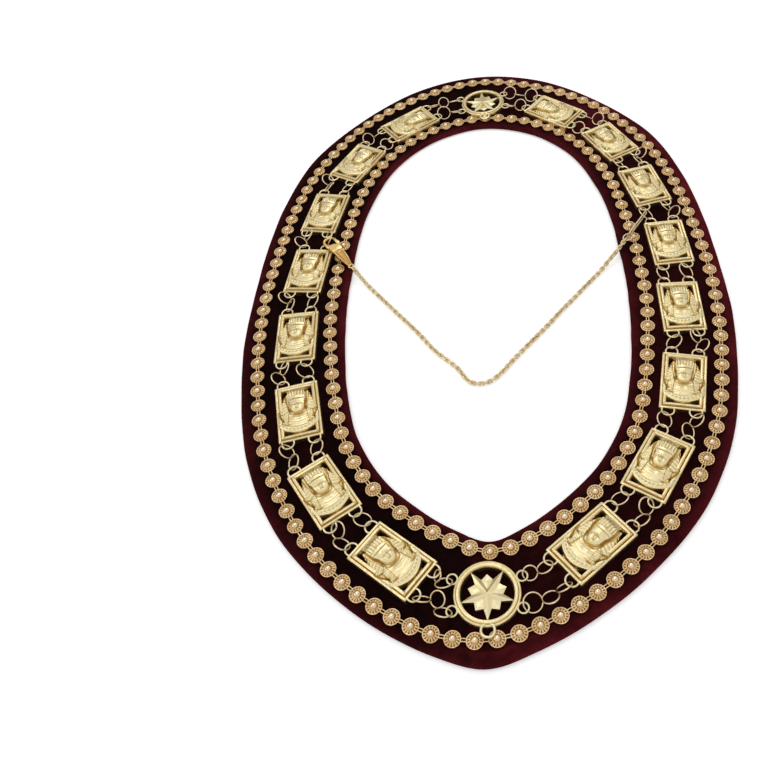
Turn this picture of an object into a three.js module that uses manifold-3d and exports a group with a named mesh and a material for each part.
// Ceremonial chain collar lying flat, front point toward -Y, back of the neck toward +Y.
// Millimetres, +Z up, the surface it lies on is z = 0.
import * as THREE from 'three';
import { mergeVertices } from 'three/addons/utils/BufferGeometryUtils.js';
import Module from 'manifold-3d';

const wasm = await Module();
wasm.setup();

// ---------------------------------------------------------------- driving dimensions
const VELVET_THICK = 3.0;
const EDGE_ROUND = 1.0;            // turned edge of the velvet
const VELVET_STATIONS = 60;

const METAL_BASE = 3.3;            // underside of every metal piece sewn to the velvet
const LOOP_PLANE = 6.0;            // height of the cast wire loops

const PLAQUE_WIDTH = 25.0;
const PLAQUE_LENGTH = 38.9;
const LIP_WIDTH = 1.4;
const LIP_TOP = 6.6;
const RIM_TOP = 7.6;
const WINDOW_WIDTH = 18.2;         // opening inside the stepped frame
const WINDOW_LENGTH = 32.1;
const LOOP_SPREAD = 7.4;           // loops sit this far each side of the middle line
const LOOP_REACH = 2.0;            // centre of a loop beyond the end wall
const LOOP_RADIUS = 2.65;          // centreline radius of a loop
const LOOP_WIRE = 0.45;

const MEDAL_RADIUS = 16.2;
const MEDAL_INNER = 13.1;
const MEDAL_LIP = 1.1;
const STAR_LONG = 13.3;
const STAR_SHORT = 9.7;
const STAR_VALLEY = 7.5;
const SIDE_LOOP_RADIUS = 18.6;
const SIDE_LOOP_ANGLE = 25;
const BAIL_CENTRE = 17.6;
const BAIL_OUTER = 3.8;
const BAIL_HOLE = 2.4;
const BAIL_LOW = 5.4;
const BAIL_HIGH = 7.0;

const RING_RADIUS = 4.4;           // centreline of a jump ring
const RING_WIRE = 0.42;
const RING_TILT = 36;              // a ring alone between two loops
const PAIR_TILT = 42;              // each ring of a longer run, and of a short gap

const STUD_RADIUS = 4.25;
const STUD_RIM = 4.4;
const STUD_TOP = 6.3;
const STUD_CLEARANCE = 0.35;       // kept free under a medallion that lies over a stud
const STUD_LINK_HALF = 1.0;        // half width of the pair of bars between studs

const CHAIN_RADIUS = 1.05;
const CHAIN_STEP = 6.2;

const CLASP_THICK = 2.2;
const LEVER_PIVOT = { along: 23.3, across: -3.3 };   // from the clasp's eye
const LEVER_ROOT = 1.1;            // radius of the lever about its pivot
const LEVER_GAP = 0.35;

// ---------------------------------------------------------------- plan curves
// Polar radii about a middle point, angles in degrees counted from the front point.
const MIDDLE_Y = -4.3;
const PLAN = [
  // angle, outerEdge, outerRow, innerRow, innerEdge
  [0, 230.5, 218.3, 174.8, 168.1],
  [6, 225.2, 215.5, 170.1, 162.2],
  [14, 215.7, 206.9, 161.3, 152.4],
  [24, 203.8, 194.8, 150.0, 140.3],
  [36, 190.3, 179.2, 134.2, 124.4],
  [50, 173.7, 162.7, 115.9, 106.6],
  [65, 158.5, 148.3, 103.8, 94.4],
  [80, 150.9, 141.3, 98.7, 88.7],
  [95, 149.1, 140.6, 97.8, 88.2],
  [110, 156.0, 145.9, 102.7, 92.3],
  [125, 171.4, 160.3, 113.9, 103.8],
  [140, 193.7, 181.4, 134.6, 122.4],
  [155, 213.7, 204.6, 159.1, 147.6],
  [168, 231.9, 220.3, 174.9, 164.9],
  [180, 239.1, 228.5, 180.8, 171.7],
];
const COLUMN = {
  // column of PLAN, sideways shift, sideways lean of the front end
  outerEdge: { column: 1, shift: 0.0, lean: -2.1 },
  outerRow: { column: 2, shift: 0.6, lean: -4.8 },
  innerRow: { column: 3, shift: 1.8, lean: 1.0 },
  innerEdge: { column: 4, shift: 1.2, lean: 0.0 },
};
const LEAN_FROM = -109.3;          // the lean starts at this y
const LEAN_RUN = 110;

function planCurve(name) {
  const { column, shift, lean } = COLUMN[name];
  const points = [];
  const rows = PLAN.map((row) => [row[0], row[column]]);
  const mirrored = rows.slice(1, -1).reverse().map(([angle, radius]) => [360 - angle, radius]);
  for (const [angle, radius] of [...rows, ...mirrored]) {
    const t = THREE.MathUtils.degToRad(angle);
    const y = MIDDLE_Y - radius * Math.cos(t);
    const k = THREE.MathUtils.clamp((LEAN_FROM - y) / LEAN_RUN, 0, 1.2);
    points.push(new THREE.Vector3(shift + radius * Math.sin(t) + lean * k * k, y, 0));
  }
  const curve = new THREE.CatmullRomCurve3(points, true, 'centripetal');
  curve.arcLengthDivisions = 1400;
  return curve;
}

// ---------------------------------------------------------------- solids
function toSolid(geometry) {
  geometry.deleteAttribute('normal');
  if (geometry.getAttribute('uv')) geometry.deleteAttribute('uv');
  const merged = mergeVertices(geometry, 1e-4);
  return new wasm.Manifold(new wasm.Mesh({
    numProp: 3,
    vertProperties: new Float32Array(merged.getAttribute('position').array),
    triVerts: new Uint32Array(merged.index.array),
  }));
}

function toGeometry(solid) {
  const mesh = solid.getMesh();
  const indexed = new THREE.BufferGeometry();
  const stride = mesh.numProp;
  const position = new Float32Array(mesh.numVert * 3);
  for (let i = 0; i < mesh.numVert; i += 1) {
    for (let k = 0; k < 3; k += 1) position[3 * i + k] = mesh.vertProperties[stride * i + k];
  }
  indexed.setAttribute('position', new THREE.BufferAttribute(position, 3));
  indexed.setIndex(new THREE.BufferAttribute(new Uint32Array(mesh.triVerts), 1));
  return indexed;
}

function join(solids) {
  return solids.slice(1).reduce((sum, solid) => sum.add(solid), solids[0]);
}

function prism(outline, low, high, holes = []) {
  const shape = new THREE.Shape(outline.map(([x, y]) => new THREE.Vector2(x, y)));
  for (const hole of holes) {
    shape.holes.push(new THREE.Path(hole.map(([x, y]) => new THREE.Vector2(x, y))));
  }
  const geometry = new THREE.ExtrudeGeometry(shape, { depth: high - low, bevelEnabled: false, steps: 1 });
  geometry.translate(0, 0, low);
  return geometry;
}

function box(width, length) {
  return [[-width / 2, -length / 2], [width / 2, -length / 2], [width / 2, length / 2], [-width / 2, length / 2]];
}

function arcPoints(radius, from, to, steps, cx = 0, cy = 0) {
  const points = [];
  for (let i = 0; i <= steps; i += 1) {
    const t = THREE.MathUtils.degToRad(from + ((to - from) * i) / steps);
    points.push([cx + radius * Math.cos(t), cy + radius * Math.sin(t)]);
  }
  return points;
}

function circle(radius, sides, cx = 0, cy = 0, turn = 0) {
  return arcPoints(radius, turn, turn + 360 * (1 - 1 / sides), sides - 1, cx, cy);
}

// A cast wire loop standing out of a wall, seen from above as most of a circle.
function wireLoop(cx, cy, outward) {
  const inner = LOOP_RADIUS - LOOP_WIRE;
  const outer = LOOP_RADIUS + LOOP_WIRE;
  const sides = 8;
  const outline = circle(outer / Math.cos(Math.PI / sides) * 0.98, sides, cx, cy, outward + 22.5);
  const hole = circle(inner / Math.cos(Math.PI / 6) * 0.98, 6, cx, cy, outward);
  return toSolid(prism(outline, LOOP_PLANE - LOOP_WIRE, LOOP_PLANE + LOOP_WIRE, [hole]));
}

// ---------------------------------------------------------------- velvet backing
function velvetBacking() {
  const outer = planCurve('outerEdge');
  const inner = planCurve('innerEdge');
  // stations crowd toward the front point, where the outline turns most
  const parameters = [];
  const half = VELVET_STATIONS / 2;
  for (let i = 0; i < half; i += 1) parameters.push(0.5 * (i / half) ** 1.35);
  const all = [...parameters, 0.5, ...parameters.slice(1).reverse().map((u) => 1 - u)];
  const outline = all.map((u) => { const p = outer.getPointAt(u); return [p.x, p.y]; });
  const hole = all.map((u) => { const p = inner.getPointAt(u); return [p.x, p.y]; });
  const shape = new THREE.Shape(outline.map(([x, y]) => new THREE.Vector2(x, y)));
  shape.holes.push(new THREE.Path(hole.map(([x, y]) => new THREE.Vector2(x, y))));
  const geometry = new THREE.ExtrudeGeometry(shape, {
    depth: VELVET_THICK - 2 * EDGE_ROUND,
    bevelEnabled: true,
    bevelThickness: EDGE_ROUND,
    bevelSize: EDGE_ROUND,
    bevelOffset: -EDGE_ROUND,
    bevelSegments: 1,
    steps: 1,
  });
  geometry.translate(0, 0, EDGE_ROUND);
  return toGeometry(toSolid(geometry));
}

// ---------------------------------------------------------------- plaques
const PLAQUES = [
  // name, x, y, turn of the head end from +Y, side of the outer edge
  ['l1', -47.4, -181.5, 51.8, -1],
  ['l2', -85.7, -140.7, 34.3, -1],
  ['l3', -106.1, -88.3, 11.9, -1],
  ['l4', -114.5, -32.5, 3.1, -1],
  ['l5', -114.1, 23.7, -6.1, -1],
  ['l6', -108.6, 79.0, -10.8, -1],
  ['l7', -90.3, 131.5, -29.4, -1],
  ['l8', -53.7, 174.2, -53.8, -1],
  ['r1', 50.9, -177.8, -50.6, 1],
  ['r2', 89.0, -136.5, -32.6, 1],
  ['r3', 110.5, -84.4, -11.6, 1],
  ['r4', 118.1, -28.9, -1.2, 1],
  ['r5', 119.2, 26.0, 3.1, 1],
  ['r6', 111.3, 82.5, 13.2, 1],
  ['r7', 93.7, 133.5, 28.1, 1],
  ['r8', 56.2, 175.0, 50.5, 1],
];
const BUST = [
  // outline of the figure inside the frame, right half from the top: x, y
  [6.3, 16.2], [6.6, 14.6], [8.9, 10.4], [9.3, 9.6], [9.3, -9.4], [5.6, -14.0], [2.2, -16.2],
];
const HEADCLOTH = [[3.6, 15.0], [6.6, 11.2], [7.6, -3.2], [3.6, -4.4]];
const FACE = [[2.0, 12.2], [3.4, 8.8], [3.0, 4.2], [1.3, 1.4]];

function mirrorOutline(rightHalf) {
  return [...rightHalf, ...rightHalf.slice().reverse().map(([x, y]) => [-x, y])].reverse();
}

function plaqueGeometry() {
  const window = box(WINDOW_WIDTH, WINDOW_LENGTH);
  const parts = [
    toSolid(prism(box(PLAQUE_WIDTH, PLAQUE_LENGTH), METAL_BASE, LIP_TOP, [window])),
    toSolid(prism(box(PLAQUE_WIDTH - 2 * LIP_WIDTH, PLAQUE_LENGTH - 2 * LIP_WIDTH), METAL_BASE, RIM_TOP, [window])),
    toSolid(prism(mirrorOutline(BUST), METAL_BASE, 5.4)),
    toSolid(prism(mirrorOutline(HEADCLOTH), 5.0, 7.2)),
    toSolid(prism(mirrorOutline(FACE), 5.0, 8.2)),
  ];
  for (const end of [-1, 1]) {
    for (const side of [-1, 1]) {
      parts.push(wireLoop(side * LOOP_SPREAD, end * (PLAQUE_LENGTH / 2 + LOOP_REACH), end * 90));
    }
  }
  return toGeometry(join(parts));
}

// ---------------------------------------------------------------- medallions
const MEDALS = {
  // centre x, y, turn; the bail points to -Y before the turn in both
  front: { x: -0.7, y: -200.9, turn: 0, starTurn: -90 },
  back: { x: 2.4, y: 193.7, turn: 4, starTurn: 90 },
};

function starOutline(turn) {
  const points = [];
  for (let i = 0; i < 5; i += 1) {
    const a = turn + 72 * i;
    for (const [da, r] of [[0, STAR_LONG], [15, STAR_VALLEY], [36, STAR_SHORT], [57, STAR_VALLEY]]) {
      const t = THREE.MathUtils.degToRad(a + da);
      points.push([r * Math.cos(t), r * Math.sin(t)]);
    }
  }
  return points;
}

function medallionGeometry({ x, y, turn, starTurn }) {
  const sides = 28;
  const parts = [
    toSolid(prism(circle(MEDAL_RADIUS, sides), METAL_BASE, LIP_TOP, [circle(MEDAL_INNER, sides)])),
    toSolid(prism(circle(MEDAL_RADIUS - MEDAL_LIP, sides), METAL_BASE, LIP_TOP + 0.7, [circle(MEDAL_INNER, sides)])),
    toSolid(prism(starOutline(starTurn), METAL_BASE, 6.0)),
    toSolid(prism(circle(4.6, 5, 0, 0, starTurn), METAL_BASE, 7.2)),
  ];
  for (const angle of [SIDE_LOOP_ANGLE, -SIDE_LOOP_ANGLE, 180 - SIDE_LOOP_ANGLE, 180 + SIDE_LOOP_ANGLE]) {
    const t = THREE.MathUtils.degToRad(angle);
    parts.push(wireLoop(SIDE_LOOP_RADIUS * Math.cos(t), SIDE_LOOP_RADIUS * Math.sin(t), angle));
  }
  parts.push(toSolid(prism(circle(BAIL_OUTER, 16, 0, -BAIL_CENTRE), BAIL_LOW, BAIL_HIGH, [circle(BAIL_HOLE, 12, 0, -BAIL_CENTRE)])));
  let solid = join(parts);
  // the bail hole stays open where its ring meets the rim
  solid = solid.subtract(toSolid(prism(circle(BAIL_HOLE, 12, 0, -BAIL_CENTRE), METAL_BASE - 1, BAIL_HIGH + 1)));
  // hollow underneath where a stud lies below
  const t = THREE.MathUtils.degToRad(-turn);
  for (const [sx, sy] of Object.keys(STUD_ROWS).flatMap(studCentres)) {
    if (Math.hypot(sx - x, sy - y) > BAIL_CENTRE + BAIL_OUTER + STUD_RADIUS) continue;
    const reach = STUD_RADIUS + STUD_CLEARANCE;
    const rise = STUD_RIM + STUD_CLEARANCE;
    const hollow = new THREE.LatheGeometry([
      new THREE.Vector2(0, METAL_BASE - 1), new THREE.Vector2(reach, METAL_BASE - 1),
      new THREE.Vector2(reach, rise), new THREE.Vector2(0, STUD_TOP + STUD_CLEARANCE),
    ], 10);
    hollow.rotateX(Math.PI / 2);
    hollow.translate((sx - x) * Math.cos(t) - (sy - y) * Math.sin(t), (sx - x) * Math.sin(t) + (sy - y) * Math.cos(t), 0);
    solid = solid.subtract(toSolid(hollow));
  }
  return toGeometry(solid);
}

// ---------------------------------------------------------------- where the loops are
function plaqueLoop(name, end, track) {
  const [, x, y, turn, outerSide] = PLAQUES.find((row) => row[0] === name);
  const t = THREE.MathUtils.degToRad(turn);
  const across = (track === 'out' ? 1 : -1) * outerSide * LOOP_SPREAD;
  const along = (end === 'head' ? 1 : -1) * (PLAQUE_LENGTH / 2 + LOOP_REACH);
  return new THREE.Vector2(
    x + across * Math.cos(t) - along * Math.sin(t),
    y + across * Math.sin(t) + along * Math.cos(t),
  );
}

function medalLoop(which, angle) {
  const { x, y, turn } = MEDALS[which];
  const t = THREE.MathUtils.degToRad(angle + turn);
  return new THREE.Vector2(x + SIDE_LOOP_RADIUS * Math.cos(t), y + SIDE_LOOP_RADIUS * Math.sin(t));
}

// ---------------------------------------------------------------- jump rings
// Each run goes from one loop to the next through knots, the points where rings cross.
// A ring passes through two knots at the height of the loops and tilts about the line between them.
const RING_SIDES = 4;
const RING_STEPS = 8;
const PAIR_REACH = 0.4;            // how far from a loop's centre a ring passes through it
const SINGLE_REACH = 1.4;

function ringSolid(from, to, radius, bulge, tilt) {
  const chord = new THREE.Vector2().subVectors(to, from);
  const half = chord.length() / 2;
  const phi = THREE.MathUtils.degToRad(tilt);
  // the low side of the ring stays above the velvet
  const low = (LOOP_PLANE - METAL_BASE - RING_WIRE) / Math.sin(phi);
  const r = Math.max(radius, half + 0.01, half > low ? (low + (half * half) / low) / 2 : 0);
  const offset = Math.sqrt(r * r - half * half);
  const e = chord.clone().normalize();
  const side = new THREE.Vector2(-e.y, e.x).multiplyScalar(bulge);
  const xAxis = new THREE.Vector3(e.x, e.y, 0);
  const yAxis = new THREE.Vector3(side.x * Math.cos(phi), side.y * Math.cos(phi), Math.sin(phi));
  const zAxis = new THREE.Vector3().crossVectors(xAxis, yAxis);
  const centre = new THREE.Vector3((from.x + to.x) / 2, (from.y + to.y) / 2, LOOP_PLANE).addScaledVector(yAxis, offset);
  const geometry = new THREE.TorusGeometry(r, RING_WIRE, RING_SIDES, RING_STEPS);
  geometry.rotateZ(Math.PI / RING_STEPS);
  const scale = 1 / Math.cos(Math.PI / RING_STEPS) * 0.985;
  geometry.scale(scale, scale, 1);
  const frame = new THREE.Matrix4().makeBasis(xAxis, yAxis, zAxis).setPosition(centre);
  geometry.applyMatrix4(frame);
  return toSolid(geometry);
}

function ringRun(a, b, knots, rings) {
  // rings: radius, bulge side, tilt for each ring of the run
  const inner = knots.map(([x, y]) => new THREE.Vector2(x, y));
  const first = inner[0] ?? b;
  const last = inner[inner.length - 1] ?? a;
  const reach = inner.length ? PAIR_REACH : THREE.MathUtils.clamp((a.distanceTo(b) - 2 * RING_RADIUS) / 2, 1.0, SINGLE_REACH);
  const start = a.clone().addScaledVector(new THREE.Vector2().subVectors(first, a).normalize(), reach);
  const end = b.clone().addScaledVector(new THREE.Vector2().subVectors(last, b).normalize(), reach);
  const path = [start, ...inner, end];
  return toGeometry(join(rings.map(([radius, bulge, tilt], i) => ringSolid(path[i], path[i + 1], radius, bulge, tilt))));
}

const MEDAL_RUNS = [
  // name, medallion, its loop angle, plaque, plaque end, track, knots from the medallion, rings
  ['links_l0_in', 'front', 155, 'l1', 'foot', 'in', [[-25.2, -193.9]], [[4.2, 1, 36], [2.9, -1, 50]]],
  ['links_l0_out', 'front', 205, 'l1', 'foot', 'out', [[-23.6, -206.8], [-27.8, -202.1]], [[4.2, 1, 42], [4.0, -1, 34], [4.3, 1, 52]]],
  ['links_r0_in', 'front', 25, 'r1', 'foot', 'in', [[23.6, -191.3]], [[3.4, 1, 38], [4.2, -1, 34]]],
  ['links_r0_out', 'front', -25, 'r1', 'foot', 'out', [[25.1, -204.9], [31.8, -201.5]], [[4.3, 1, 30], [4.2, -1, 30], [4.2, -1, 52]]],
  ['links_l8_in', 'back', 205, 'l8', 'head', 'in', [[-23.0, 184.3]], [[4.1, 1, 40], [4.3, -1, 40]]],
  ['links_l8_out', 'back', 155, 'l8', 'head', 'out', [[-24.4, 197.7], [-31.4, 195.5]], [[4.4, 1, 32], [3.8, -1, 40], [4.4, 1, 40]]],
  ['links_r8_in', 'back', -25, 'r8', 'head', 'in', [[27.1, 185.2]], [[4.1, -1, 40], [4.2, 1, 40]]],
  ['links_r8_out', 'back', 25, 'r8', 'head', 'out', [[28.0, 201.1], [35.4, 197.9]], [[4.2, 1, 40], [4.3, -1, 36], [4.3, 1, 40]]],
];
const SINGLE_RING_LIMIT = 13.0;    // a gap wider than this takes two rings
const SHORT_GAP = 10.0;            // a gap narrower than this stands its ring up more
const CLASP_RING = { run: 'links_l5_in', tilt: 53, radius: 5.0 };
const CHAIN_RING = 'links_r5_in';  // its raised side faces the neck opening


function midKnot(a, b) {
  return [[(a.x + b.x) / 2, (a.y + b.y) / 2]];
}

// ---------------------------------------------------------------- stud rows
const STUD_ROWS = {
  // curve, number of studs, shifts of the even spacing along the row (constant, one wave, two waves)
  studs_outer: { curve: 'outerRow', count: 110, even: 8.53, sin1: 0.6, cos1: -1.05, sin2: -1.16, cos2: 0.47 },
  studs_inner: { curve: 'innerRow', count: 84, even: -1.26, sin1: 1.48, cos1: 0.45, sin2: -1.76, cos2: -0.54 },
};
const STUD_CORNERS = [90 - 38, 90 + 38];   // corners of a stud on each side of the row

function studCentres(name) {
  const row = STUD_ROWS[name];
  const curve = planCurve(row.curve);
  const total = curve.getLength();
  const studs = [];
  for (let k = 0; k < row.count; k += 1) {
    const w = (2 * Math.PI * k) / row.count;
    const s = (total * k) / row.count + row.even + row.sin1 * Math.sin(w) + row.cos1 * Math.cos(w)
      + row.sin2 * Math.sin(2 * w) + row.cos2 * Math.cos(2 * w);
    const p = curve.getPointAt((((s / total) % 1) + 1) % 1);
    studs.push([p.x, p.y]);
  }
  return studs;
}

function studRow(name) {
  const studs = studCentres(name);
  // each stud: link corners and side corners in its own direction of travel
  const position = [];
  const index = [];
  const add = (x, y, z) => { position.push(x, y, z); return position.length / 3 - 1; };
  const tri = (a, b, c) => index.push(a, b, c);
  const quad = (a, b, c, d) => { tri(a, b, c); tri(a, c, d); };
  const reach = Math.sqrt(STUD_RADIUS ** 2 - STUD_LINK_HALF ** 2);
  const rows = studs.map(([x, y], k) => {
    const [nx, ny] = studs[(k + 1) % studs.length];
    const [px, py] = studs[(k - 1 + studs.length) % studs.length];
    const t = Math.atan2(ny - py, nx - px);
    const at = (along, across, z) => add(
      x + along * Math.cos(t) - across * Math.sin(t),
      y + along * Math.sin(t) + across * Math.cos(t), z);
    const ring = (z) => {
      const left = STUD_CORNERS.map((a) => {
        const q = THREE.MathUtils.degToRad(a);
        return at(STUD_RADIUS * Math.cos(q), STUD_RADIUS * Math.sin(q), z);
      });
      const right = STUD_CORNERS.slice().reverse().map((a) => {
        const q = THREE.MathUtils.degToRad(a);
        return at(STUD_RADIUS * Math.cos(q), -STUD_RADIUS * Math.sin(q), z);
      });
      // counter-clockwise from the forward right link corner
      return [at(reach, -STUD_LINK_HALF, z), at(reach, STUD_LINK_HALF, z), left[0], left[1],
        at(-reach, STUD_LINK_HALF, z), at(-reach, -STUD_LINK_HALF, z), right[0], right[1]];
    };
    return { low: ring(METAL_BASE), rim: ring(STUD_RIM), apex: add(x, y, STUD_TOP) };
  });
  rows.forEach((stud, k) => {
    const next = rows[(k + 1) % rows.length];
    const { low, rim, apex } = stud;
    for (let i = 0; i < 8; i += 1) {
      const j = (i + 1) % 8;
      tri(rim[i], rim[j], apex);
      if (i !== 0 && i !== 4) quad(low[i], low[j], rim[j], rim[i]);   // the link covers sides 0 and 4
    }
    for (let i = 1; i < 7; i += 1) tri(low[0], low[i + 1], low[i]);
    // link to the next stud: its rear corners are 4 (left) and 5 (right)
    quad(rim[0], next.rim[5], next.rim[4], rim[1]);
    quad(low[1], next.low[4], next.low[5], low[0]);
    quad(low[0], next.low[5], next.rim[5], rim[0]);
    quad(rim[1], next.rim[4], next.low[4], low[1]);
  });
  const geometry = new THREE.BufferGeometry();
  geometry.setAttribute('position', new THREE.Float32BufferAttribute(position, 3));
  geometry.setIndex(index);
  return geometry;
}

// ---------------------------------------------------------------- safety chain
const CHAIN_ROUTE = [
  // x, y, height of the centreline
  [-83.5, 21.4, 6.9], [-80.7, 18.1, 5.1], [-76.9, 13.7, 2.5], [-71.4, 6.8, 1.3],
  [-52.5, -16.9, 1.2], [-39.4, -33.5, 1.2], [-29.8, -46.9, 1.2], [-17.1, -60.0, 1.2],
  [-8.3, -72.0, 1.2], [-0.8, -73.0, 1.2], [3.8, -71.2, 1.2], [9.8, -66.0, 1.2],
  [18.3, -55.5, 1.2], [33.4, -38.4, 1.2], [49.8, -18.9, 1.2], [67.0, 0.9, 1.2],
  [74.7, 9.7, 1.7], [81.7, 17.6, 4.0], [87.7, 24.4, 5.6], [91.3, 29.4, 6.6],
];
const END_RING = { x: 94.1, y: 32.3, z: 6.9, radius: 4.0, lean: 12 };
const END_LINK = { x1: 97.2, y1: 35.3, z1: 8.6, x2: 109.0, y2: 53.4, z2: 8.9, width: 5.6, wire: 0.5 };

function tubeAlong(points, radius, sides, steps, closed = false) {
  const curve = new THREE.CatmullRomCurve3(points, closed, 'centripetal');
  const section = new THREE.Shape(circle(radius, sides).map(([x, y]) => new THREE.Vector2(x, y)));
  return new THREE.ExtrudeGeometry(section, { steps, bevelEnabled: false, extrudePath: curve });
}

function safetyChain() {
  const route = CHAIN_ROUTE.map(([x, y, z]) => new THREE.Vector3(x, y, z));
  const length = new THREE.CatmullRomCurve3(route, false, 'centripetal').getLength();
  const parts = [toSolid(tubeAlong(route, CHAIN_RADIUS, 8, Math.round(length / CHAIN_STEP)))];
  const ring = new THREE.TorusGeometry(END_RING.radius, 0.55, 4, 10);
  ring.rotateY(-THREE.MathUtils.degToRad(END_RING.lean));
  ring.translate(END_RING.x, END_RING.y, END_RING.z);
  parts.push(toSolid(ring));
  const a = new THREE.Vector3(END_LINK.x1, END_LINK.y1, END_LINK.z1);
  const b = new THREE.Vector3(END_LINK.x2, END_LINK.y2, END_LINK.z2);
  const length2 = a.distanceTo(b) + 2 * END_LINK.wire;
  const outline = [];
  const hole = [];
  for (const [list, grow] of [[outline, END_LINK.wire], [hole, -END_LINK.wire]]) {
    const r = END_LINK.width / 2 - END_LINK.wire + grow;
    const straight = length2 / 2 - END_LINK.width / 2;
    list.push(...arcPoints(r, -90, 90, 4, straight, 0), ...arcPoints(r, 90, 270, 4, -straight, 0));
  }
  const link = prism(outline, -END_LINK.wire, END_LINK.wire, [hole]);
  // the long link stands nearly on edge
  link.rotateX(THREE.MathUtils.degToRad(68));
  const e = new THREE.Vector3().subVectors(b, a).normalize();
  const up = new THREE.Vector3(0, 0, 1);
  const sideways = new THREE.Vector3().crossVectors(up, e).normalize();
  const frame = new THREE.Matrix4().makeBasis(e, sideways, new THREE.Vector3().crossVectors(e, sideways));
  frame.setPosition(a.clone().add(b).multiplyScalar(0.5));
  link.applyMatrix4(frame);
  parts.push(toSolid(link));
  return toGeometry(join(parts));
}

// ---------------------------------------------------------------- lobster clasp
// Drawn flat: x runs from the eye at the chain to the hook's tip, the lever is on the -y side.
const CLASP_PLACE = { eyeX: -85.4, eyeY: 23.2, eyeZ: 8.0, tipX: -104.0, tipY: 50.4, tipZ: 9.6 };
const CLASP_OUTLINE = [
  // x, y going round counter-clockwise
  [-1.9, 0], [-1.3, -1.3], [0, -1.9], [3.5, -1.7], [9.0, -2.9], [13.0, -3.3], [17.0, -3.3], [21.2, -4.2],
  ...arcPoints(LEVER_ROOT + LEVER_GAP, 205, 95, 4, LEVER_PIVOT.along, LEVER_PIVOT.across),
  [23.9, -1.1], [24.3, 0.6], [24.9, 2.2], [26.2, 3.0], [28.0, 3.0], [29.3, 2.0], [29.6, 0.6], [29.5, -1.2], [28.95, -2.3],
  [28.95, -4.1], [30.4, -3.8], [31.7, -2.0], [32.2, 0.4], [31.6, 3.2], [29.2, 4.9], [25.0, 4.9], [20.0, 3.9],
  [17.0, 3.3], [13.0, 3.3], [9.0, 2.9], [3.5, 1.7], [0, 1.9], [-1.3, 1.3],
];
const LEVER_OUTLINE = [
  [23.9, -4.9], [25.0, -4.8], [26.0, -4.2], [28.6, -4.1], [28.6, -2.4],
  ...arcPoints(LEVER_ROOT, 90, 240, 4, LEVER_PIVOT.along, LEVER_PIVOT.across),
];

function claspFrame() {
  const a = new THREE.Vector3(CLASP_PLACE.eyeX, CLASP_PLACE.eyeY, CLASP_PLACE.eyeZ);
  const b = new THREE.Vector3(CLASP_PLACE.tipX, CLASP_PLACE.tipY, CLASP_PLACE.tipZ);
  const e = new THREE.Vector3().subVectors(b, a).normalize();
  const sideways = new THREE.Vector3().crossVectors(new THREE.Vector3(0, 0, 1), e).normalize();
  const up = new THREE.Vector3().crossVectors(e, sideways);
  return new THREE.Matrix4().makeBasis(e, sideways, up).setPosition(a);
}

function claspBody() {
  const body = prism(CLASP_OUTLINE, -CLASP_THICK / 2, CLASP_THICK / 2, [circle(0.95, 6)]);
  body.applyMatrix4(claspFrame());
  return toGeometry(toSolid(body));
}

function claspLever() {
  const lever = prism(LEVER_OUTLINE, -0.8, 0.8);
  lever.applyMatrix4(claspFrame());
  return toGeometry(toSolid(lever));
}

// ---------------------------------------------------------------- assembly
const collar = new THREE.Group();

const castGold = { color: 0xe3cf86, roughness: 0.42, metalness: 1.0 };
const wireGold = { color: 0xdcc48c, roughness: 0.3, metalness: 1.0 };
const studGold = { color: 0xd9a860, roughness: 0.3, metalness: 1.0 };
const velvet = { color: 0x2a0509, roughness: 0.95, metalness: 0.0 };

function place(name, geometry, look, x = 0, y = 0, turn = 0) {
  geometry.computeVertexNormals();
  const mesh = new THREE.Mesh(geometry, new THREE.MeshStandardMaterial(look));
  mesh.name = name;
  mesh.position.set(x, y, 0);
  mesh.rotation.z = THREE.MathUtils.degToRad(turn);
  collar.add(mesh);
}

place('velvet_backing', velvetBacking(), velvet);

for (const [name, x, y, turn] of PLAQUES) {
  place(`plaque_${name}`, plaqueGeometry(), castGold, x, y, turn);
}
for (const [which, medal] of Object.entries(MEDALS)) {
  place(`medallion_${which}`, medallionGeometry(medal), castGold, medal.x, medal.y, medal.turn);
}
for (const [name, medal, angle, plaque, end, track, knots, rings] of MEDAL_RUNS) {
  place(name, ringRun(medalLoop(medal, angle), plaqueLoop(plaque, end, track), knots, rings), wireGold);
}
for (const side of ['l', 'r']) {
  for (let gap = 1; gap <= 7; gap += 1) {
    for (const track of ['in', 'out']) {
      const name = `links_${side}${gap}_${track}`;
      const a = plaqueLoop(`${side}${gap}`, 'head', track);
      const b = plaqueLoop(`${side}${gap + 1}`, 'foot', track);
      const flip = (side === 'l' ? 1 : -1) * (gap % 2 ? 1 : -1);
      if (name === CLASP_RING.run) {
        place(name, ringRun(a, b, [], [[CLASP_RING.radius, -1, CLASP_RING.tilt]]), wireGold);
      } else if (a.distanceTo(b) < SINGLE_RING_LIMIT || track === 'in') {
        const tilt = a.distanceTo(b) < SHORT_GAP ? PAIR_TILT : RING_TILT;
        place(name, ringRun(a, b, [], [[RING_RADIUS, name === CHAIN_RING ? 1 : flip, tilt]]), wireGold);
      } else {
        place(name, ringRun(a, b, midKnot(a, b), [[RING_RADIUS, flip, PAIR_TILT], [RING_RADIUS, -flip, PAIR_TILT]]), wireGold);
      }
    }
  }
}
for (const name of Object.keys(STUD_ROWS)) place(name, studRow(name), studGold);
place('safety_chain', safetyChain(), wireGold);
place('clasp_body', claspBody(), wireGold);
place('clasp_lever', claspLever(), wireGold);

export default collar;
